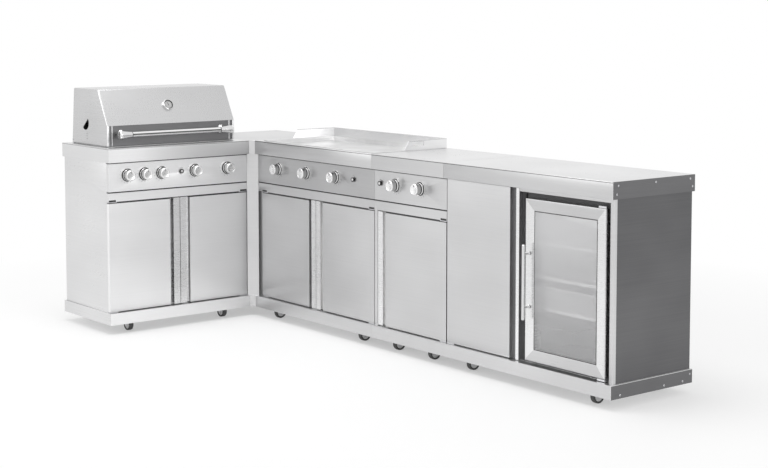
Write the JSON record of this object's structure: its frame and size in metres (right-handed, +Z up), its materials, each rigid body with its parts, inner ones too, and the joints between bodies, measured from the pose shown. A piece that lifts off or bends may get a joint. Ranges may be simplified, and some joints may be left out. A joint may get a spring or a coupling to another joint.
{
  "type": "outdoor kitchen",
  "caption": "L-shaped outdoor kitchen in brushed steel: roll-hood grill, griddle, lidded side burner, fridge and cupboards on castors.",
  "frame": {"origin": "on the floor, at the middle of the footprint's bounding box", "axes": "+Z up, +X to the right along the long wing, whose fronts face -Y; the grill wing's front faces +X"},
  "size_m": [2.972, 1.302, 1.176],
  "materials": {
    "brushed_steel": "brushed, satin",
    "dark_end_steel": "satin grey",
    "dark_steel": "satin dark grey",
    "black_trim": "matte black",
    "knob_steel": "satin chrome",
    "chrome": "polished",
    "cast_iron": "seasoned",
    "glass": "clear, slightly grey",
    "fridge_liner": "white-grey liner",
    "brass": "plain",
    "tyre": "matte rubber",
    "zinc": "zinc plated"
  },
  "bodies": {
    "kitchen": {"burner_cabinet": "brushed_steel", "burner_control_panel": "brushed_steel", "burner_worktop": "brushed_steel", "castor_forks": "zinc", "cooking_grates": "cast_iron", "corner_unit": "brushed_steel", "drip_trays": "brushed_steel", "firebox": "brushed_steel", "fridge_body": "fridge_liner", "fridge_cabinet": "brushed_steel", "fridge_compressor": "dark_steel", "fridge_shelves": "chrome", "fridge_worktop": "brushed_steel", "gas_manifolds": "brass", "griddle_cabinet": "brushed_steel", "griddle_control_panel": "brushed_steel", "griddle_guard": "brushed_steel", "griddle_plate": "dark_steel", "griddle_worktop": "brushed_steel", "grill_cabinet": "brushed_steel", "grill_control_panel": "brushed_steel", "grill_worktop": "brushed_steel", "heat_shields": "brushed_steel", "hinge_brackets": "zinc", "knob_bezels": "black_trim", "plinth_frames": "brushed_steel", "right_end_panels": "dark_end_steel", "screws": "zinc", "side_burners": "cast_iron", "tube_burners": "brushed_steel"},
    "grill_door_left": {"grill_door_left": "brushed_steel"},
    "grill_door_right": {"grill_door_right": "brushed_steel"},
    "griddle_door_left": {"griddle_door_left": "brushed_steel"},
    "griddle_door_right": {"griddle_door_right": "brushed_steel"},
    "burner_door": {"burner_door": "brushed_steel"},
    "storage_door": {"storage_door": "brushed_steel"},
    "hood": {"hood": "brushed_steel", "hood_handle": "chrome", "hood_gauge": "chrome"},
    "burner_lid": {"burner_lid": "brushed_steel"},
    "fridge_door": {"fridge_door_frame": "brushed_steel", "fridge_door_glass": "glass", "fridge_door_handle": "chrome"},
    "grill_knob_1": {"grill_knob_1": "knob_steel"},
    "grill_knob_2": {"grill_knob_2": "knob_steel"},
    "grill_knob_3": {"grill_knob_3": "knob_steel"},
    "grill_knob_4": {"grill_knob_4": "knob_steel"},
    "grill_knob_5": {"grill_knob_5": "knob_steel"},
    "grill_igniter_button": {"grill_igniter_button": "chrome"},
    "griddle_knob_1": {"griddle_knob_1": "knob_steel"},
    "griddle_knob_2": {"griddle_knob_2": "knob_steel"},
    "griddle_knob_3": {"griddle_knob_3": "knob_steel"},
    "griddle_igniter_button": {"griddle_igniter_button": "chrome"},
    "burner_knob_1": {"burner_knob_1": "knob_steel"},
    "burner_knob_2": {"burner_knob_2": "knob_steel"},
    "burner_igniter_button": {"burner_igniter_button": "chrome"},
    "left_front_wheels": {"left_front_wheels": "tyre"},
    "left_rear_wheels": {"left_rear_wheels": "tyre"},
    "right_front_wheels": {"right_front_wheels": "tyre"},
    "right_rear_wheels": {"right_rear_wheels": "tyre"}
  },
  "joints": [
    {"name": "grill_door_left_hinge", "type": "hinge", "parent": "kitchen", "child": "grill_door_left", "pos_m": [-1.032, -0.637, 0.106], "axis": [0, 0, 1], "range_deg": [-105, 0]},
    {"name": "grill_door_right_hinge", "type": "hinge", "parent": "kitchen", "child": "grill_door_right", "pos_m": [-1.032, 0.1398, 0.106], "axis": [0, 0, 1], "range_deg": [0, 90]},
    {"name": "griddle_door_left_hinge", "type": "hinge", "parent": "kitchen", "child": "griddle_door_left", "pos_m": [-0.94, 0.197, 0.106], "axis": [0, 0, 1], "range_deg": [-90, 0]},
    {"name": "griddle_door_right_hinge", "type": "hinge", "parent": "kitchen", "child": "griddle_door_right", "pos_m": [-0.0332, 0.197, 0.106], "axis": [0, 0, 1], "range_deg": [0, 105]},
    {"name": "burner_door_hinge", "type": "hinge", "parent": "kitchen", "child": "burner_door", "pos_m": [0.4768, 0.197, 0.106], "axis": [0, 0, 1], "range_deg": [0, 90]},
    {"name": "storage_door_hinge", "type": "hinge", "parent": "kitchen", "child": "storage_door", "pos_m": [0.4952, 0.197, 0.106], "axis": [0, 0, 1], "range_deg": [-90, 0]},
    {"name": "hood_hinge", "type": "hinge", "parent": "kitchen", "child": "hood", "pos_m": [-1.441, -0.251, 0.918], "axis": [0, -1, 0], "range_deg": [0, 90]},
    {"name": "burner_lid_hinge", "type": "hinge", "parent": "kitchen", "child": "burner_lid", "pos_m": [0.231, 0.631, 0.896], "axis": [-1, 0, 0], "range_deg": [0, 95]},
    {"name": "fridge_door_hinge", "type": "hinge", "parent": "kitchen", "child": "fridge_door", "pos_m": [1.424, 0.201, 0.113], "axis": [0, 0, 1], "range_deg": [0, 100]},
    {"name": "grill_knob_1_turn", "type": "hinge", "parent": "kitchen", "child": "grill_knob_1", "pos_m": [-1.026, -0.543, 0.767], "axis": [-1, 0, 0], "range_deg": [0, 130]},
    {"name": "grill_knob_2_turn", "type": "hinge", "parent": "kitchen", "child": "grill_knob_2", "pos_m": [-1.026, -0.448, 0.767], "axis": [-1, 0, 0], "range_deg": [0, 130]},
    {"name": "grill_knob_3_turn", "type": "hinge", "parent": "kitchen", "child": "grill_knob_3", "pos_m": [-1.026, -0.353, 0.767], "axis": [-1, 0, 0], "range_deg": [0, 130]},
    {"name": "grill_knob_4_turn", "type": "hinge", "parent": "kitchen", "child": "grill_knob_4", "pos_m": [-1.026, -0.163, 0.767], "axis": [-1, 0, 0], "range_deg": [0, 130]},
    {"name": "grill_knob_5_turn", "type": "hinge", "parent": "kitchen", "child": "grill_knob_5", "pos_m": [-1.026, 0.027, 0.767], "axis": [-1, 0, 0], "range_deg": [0, 130]},
    {"name": "grill_igniter_button_press", "type": "slide", "parent": "kitchen", "child": "grill_igniter_button", "axis": [-1, 0, 0], "range_m": [0, 0.004], "stiffness_N_per_m": 300},
    {"name": "griddle_knob_1_turn", "type": "hinge", "parent": "kitchen", "child": "griddle_knob_1", "pos_m": [-0.798, 0.191, 0.767], "axis": [0, 1, 0], "range_deg": [0, 130]},
    {"name": "griddle_knob_2_turn", "type": "hinge", "parent": "kitchen", "child": "griddle_knob_2", "pos_m": [-0.56, 0.191, 0.767], "axis": [0, 1, 0], "range_deg": [0, 130]},
    {"name": "griddle_knob_3_turn", "type": "hinge", "parent": "kitchen", "child": "griddle_knob_3", "pos_m": [-0.322, 0.191, 0.767], "axis": [0, 1, 0], "range_deg": [0, 130]},
    {"name": "griddle_igniter_button_press", "type": "slide", "parent": "kitchen", "child": "griddle_igniter_button", "axis": [0, 1, 0], "range_m": [0, 0.004], "stiffness_N_per_m": 300},
    {"name": "burner_knob_1_turn", "type": "hinge", "parent": "kitchen", "child": "burner_knob_1", "pos_m": [0.133, 0.191, 0.767], "axis": [0, 1, 0], "range_deg": [0, 130]},
    {"name": "burner_knob_2_turn", "type": "hinge", "parent": "kitchen", "child": "burner_knob_2", "pos_m": [0.307, 0.191, 0.767], "axis": [0, 1, 0], "range_deg": [0, 130]},
    {"name": "burner_igniter_button_press", "type": "slide", "parent": "kitchen", "child": "burner_igniter_button", "axis": [0, 1, 0], "range_m": [0, 0.004], "stiffness_N_per_m": 300},
    {"name": "left_front_wheels_roll", "type": "hinge", "parent": "kitchen", "child": "left_front_wheels", "pos_m": [-1.068, -0.251, 0.03], "axis": [0, 1, 0], "continuous": true},
    {"name": "left_rear_wheels_roll", "type": "hinge", "parent": "kitchen", "child": "left_rear_wheels", "pos_m": [-1.424, -0.251, 0.03], "axis": [0, 1, 0], "continuous": true},
    {"name": "right_front_wheels_roll", "type": "hinge", "parent": "kitchen", "child": "right_front_wheels", "pos_m": [0.231, 0.233, 0.03], "axis": [1, 0, 0], "continuous": true},
    {"name": "right_rear_wheels_roll", "type": "hinge", "parent": "kitchen", "child": "right_rear_wheels", "pos_m": [0.231, 0.589, 0.03], "axis": [1, 0, 0], "continuous": true}
  ]
}
